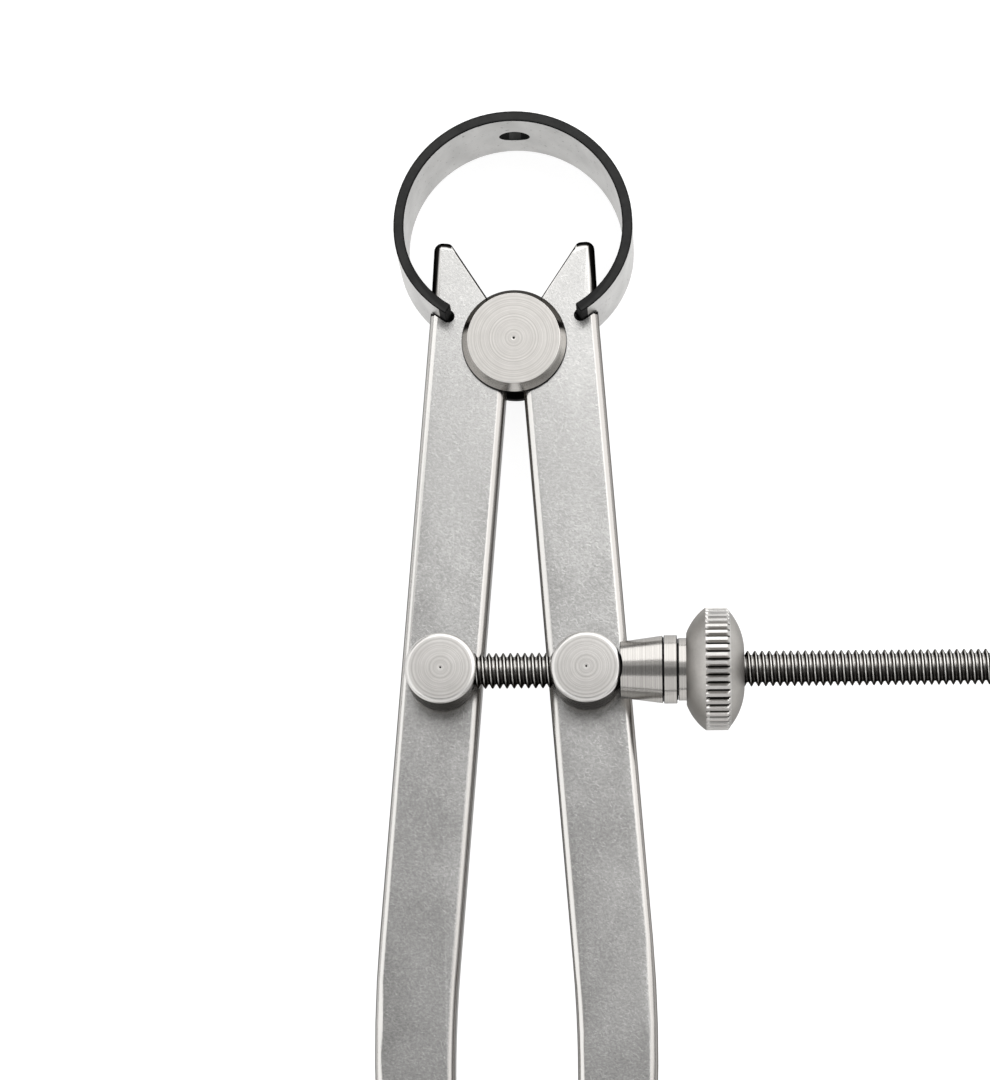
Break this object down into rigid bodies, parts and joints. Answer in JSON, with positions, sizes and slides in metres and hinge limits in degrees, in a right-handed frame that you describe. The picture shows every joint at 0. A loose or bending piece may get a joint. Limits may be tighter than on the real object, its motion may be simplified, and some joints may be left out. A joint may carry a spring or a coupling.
{
  "type": "spring caliper",
  "caption": "Flat-leg inside spring caliper: bow spring, spool fulcrum, two legs with turned-out feet, and a screw through swivel posts with a knurled quick nut.",
  "frame": {"origin": "centre of the fulcrum stud's front face, on the axis that both legs swing about", "axes": "+Y from the feet towards the bow spring, +Z out of the front faces, +X along the adjusting screw towards its free end"},
  "size_m": [0.0737, 0.1767, 0.0191],
  "materials": {
    "ground_steel": "satin ground steel, finely scratched",
    "spring_steel": "satin spring steel strip, front and rear edges blackened",
    "turned_steel": "turned steel with fine concentric rings",
    "thread_steel": "dark oiled steel thread",
    "satin_steel": "bead-blasted steel"
  },
  "bodies": {
    "fulcrum": {"fulcrum_stud": "turned_steel"},
    "bow": {"bow_spring": "spring_steel"},
    "left_leg": {"left_leg": "ground_steel"},
    "right_leg": {"right_leg": "ground_steel"},
    "screw": {"left_post": "turned_steel", "left_post_washer": "turned_steel", "adjusting_screw": "thread_steel"},
    "right_post": {"right_post": "turned_steel", "right_post_washer": "turned_steel", "nut_cone": "turned_steel"},
    "nut": {"nut_collar": "turned_steel", "knurled_nut": "satin_steel", "half_nut_upper": "turned_steel", "half_nut_lower": "turned_steel", "nut_spring": "spring_steel"}
  },
  "joints": [
    {"name": "left_leg_swing", "type": "hinge", "parent": "fulcrum", "child": "left_leg", "pos_m": [0, 0, -0.0044], "axis": [0, 0, -1], "range_deg": [-2, 24.4]},
    {"name": "right_leg_swing", "type": "hinge", "parent": "fulcrum", "child": "right_leg", "pos_m": [0, 0, -0.0044], "axis": [0, 0, 1], "range_deg": [-2, 24.4]},
    {"name": "left_post_swivel", "type": "hinge", "parent": "left_leg", "child": "screw", "pos_m": [-0.00811, -0.03861, 0.0017], "axis": [0, 0, 1], "range_deg": [-2, 24.4]},
    {"name": "right_post_swivel", "type": "hinge", "parent": "right_leg", "child": "right_post", "pos_m": [0.00811, -0.03861, 0.0017], "axis": [0, 0, -1], "range_deg": [-2, 24.4]},
    {"name": "bow_lift", "type": "slide", "parent": "fulcrum", "child": "bow", "axis": [0, 1, 0], "range_m": [-0.00022, 0.00273], "deforming": ["bow_spring"]},
    {"name": "nut_turn", "type": "hinge", "parent": "right_post", "child": "nut", "pos_m": [0.02151, -0.03861, 0.0017], "axis": [1, 0, 0], "continuous": true}
  ],
  "couplings": [
    {"joint": "right_leg_swing", "follows": "left_leg_swing", "ratio": 1},
    {"joint": "left_post_swivel", "follows": "left_leg_swing", "ratio": 1},
    {"joint": "right_post_swivel", "follows": "left_leg_swing", "ratio": 1},
    {"joint": "bow_lift", "follows": "left_leg_swing", "m_per_rad": 0.0064}
  ]
}
